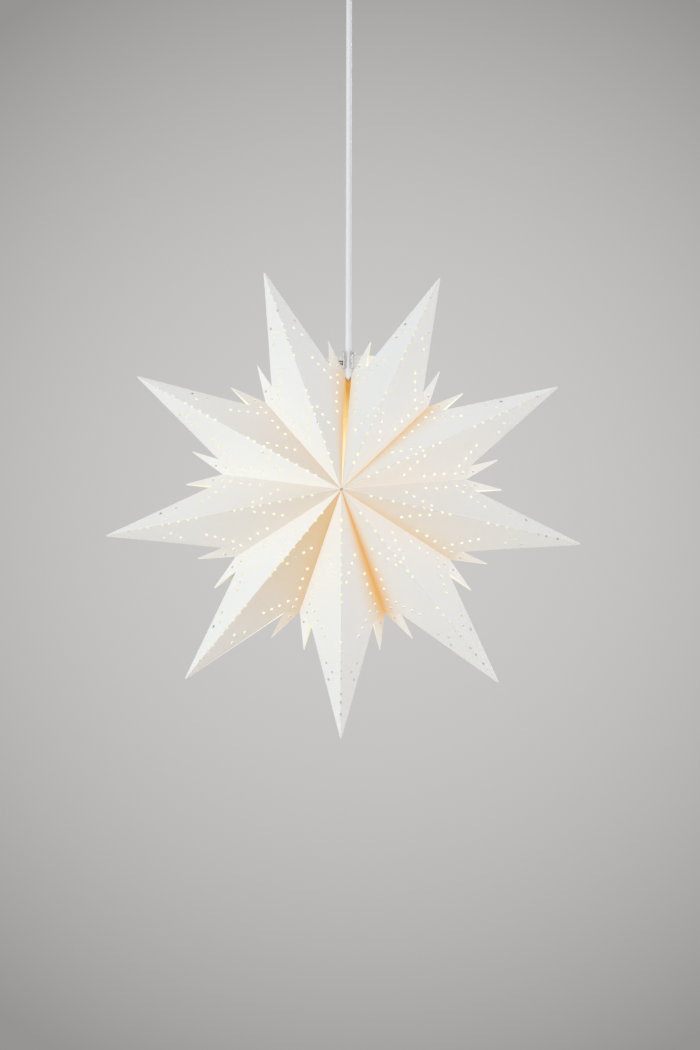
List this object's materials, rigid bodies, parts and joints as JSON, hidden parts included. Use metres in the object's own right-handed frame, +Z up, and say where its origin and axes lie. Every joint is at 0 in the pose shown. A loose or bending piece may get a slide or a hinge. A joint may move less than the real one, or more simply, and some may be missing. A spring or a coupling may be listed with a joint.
{
  "type": "paper star pendant lamp",
  "caption": "Hanging folded-paper star lantern with pointed hollow arms, on a straight cord with lampholder, bulb and ceiling cup.",
  "frame": {"origin": "centre of the two ceiling screw slots, in the bracket's upper face, on the cord's line", "axes": "+Z up towards the ceiling, -Y towards the star's front, +X to the right in the front view"},
  "size_m": [0.4799, 0.1408, 0.834],
  "materials": {
    "star_paper": "matt white paper, lit from inside",
    "clear_plastic": "clear, glossy",
    "white_plastic": "satin",
    "cord_sheath": "smooth white PVC",
    "lead_insulation": "smooth",
    "seal_rubber": "soft",
    "zinc_steel": "zinc plated",
    "brass": "plain",
    "nickel_brass": "nickel plated",
    "terminal_plastic": "milky",
    "holder_plastic": "heat-proof, satin",
    "carrier_plastic": "heat-proof, matt",
    "black_glass": "glossy",
    "solder": "dull",
    "opal_plastic": "opal, lit"
  },
  "bodies": {
    "ceiling": {"ceiling_bracket": "zinc_steel", "ceiling_cup": "white_plastic", "cup_screws": "zinc_steel", "tail_leads": "lead_insulation", "cord_tail": "cord_sheath", "terminal_block": "terminal_plastic", "terminal_inserts": "brass", "terminal_screws": "zinc_steel", "block_screw": "zinc_steel", "grip_body": "white_plastic", "grip_locknut": "white_plastic"},
    "clamp_nut": {"grip_nut": "white_plastic"},
    "seal": {"grip_seal": "seal_rubber"},
    "pendant": {"cord": "cord_sheath", "holder_cap": "holder_plastic", "holder_grub_screw": "white_plastic", "holder_body": "holder_plastic", "contact_carrier": "carrier_plastic", "screw_shell": "brass", "centre_contact": "brass", "holder_leads": "lead_insulation"},
    "bulb_base": {"bulb_cap": "nickel_brass", "bulb_insulator": "black_glass", "bulb_tip": "solder"},
    "bulb": {"bulb_foot": "holder_plastic", "bulb_globe": "opal_plastic"},
    "star": {"arm_1_front": "star_paper", "arm_1_back": "star_paper", "arm_2_front": "star_paper", "arm_2_back": "star_paper", "arm_3_front": "star_paper", "arm_3_back": "star_paper", "arm_4_front": "star_paper", "arm_4_back": "star_paper", "arm_5_front": "star_paper", "arm_5_back": "star_paper", "arm_6_front": "star_paper", "arm_6_back": "star_paper", "arm_7_front": "star_paper", "arm_7_back": "star_paper", "arm_8_front": "star_paper", "arm_8_back": "star_paper", "arm_9_front": "star_paper", "arm_9_back": "star_paper", "hanger_clip": "clear_plastic"},
    "clamp": {"clamp_screw": "white_plastic"}
  },
  "joints": [
    {"name": "grip_nut_turn", "type": "hinge", "parent": "ceiling", "child": "clamp_nut", "pos_m": [0, 0, -0.057], "axis": [0, 0, 1], "range_deg": [0, 540]},
    {"name": "swing_side", "type": "hinge", "parent": "ceiling", "child": "seal", "pos_m": [0, 0, -0.0616], "axis": [0, 1, 0], "range_deg": [-20, 20]},
    {"name": "swing_front", "type": "hinge", "parent": "seal", "child": "pendant", "pos_m": [0, 0, -0.0616], "axis": [1, 0, 0], "range_deg": [-20, 20]},
    {"name": "star_turn", "type": "hinge", "parent": "pendant", "child": "star", "pos_m": [0, 0, -0.46], "axis": [0, 0, 1], "continuous": true},
    {"name": "clamp_screw_turn", "type": "hinge", "parent": "star", "child": "clamp", "pos_m": [0.0065, 0, -0.444], "axis": [1, 0, 0], "range_deg": [0, 720]},
    {"name": "bulb_drop", "type": "slide", "parent": "pendant", "child": "bulb_base", "axis": [0, 0, -1], "range_m": [0, 0.0141]},
    {"name": "bulb_turn", "type": "hinge", "parent": "bulb_base", "child": "bulb", "pos_m": [0, 0, -0.57], "axis": [0, 0, -1], "range_deg": [0, 1800]}
  ],
  "couplings": [
    {"joint": "bulb_turn", "follows": "bulb_drop", "rad_per_m": 2228.1}
  ]
}
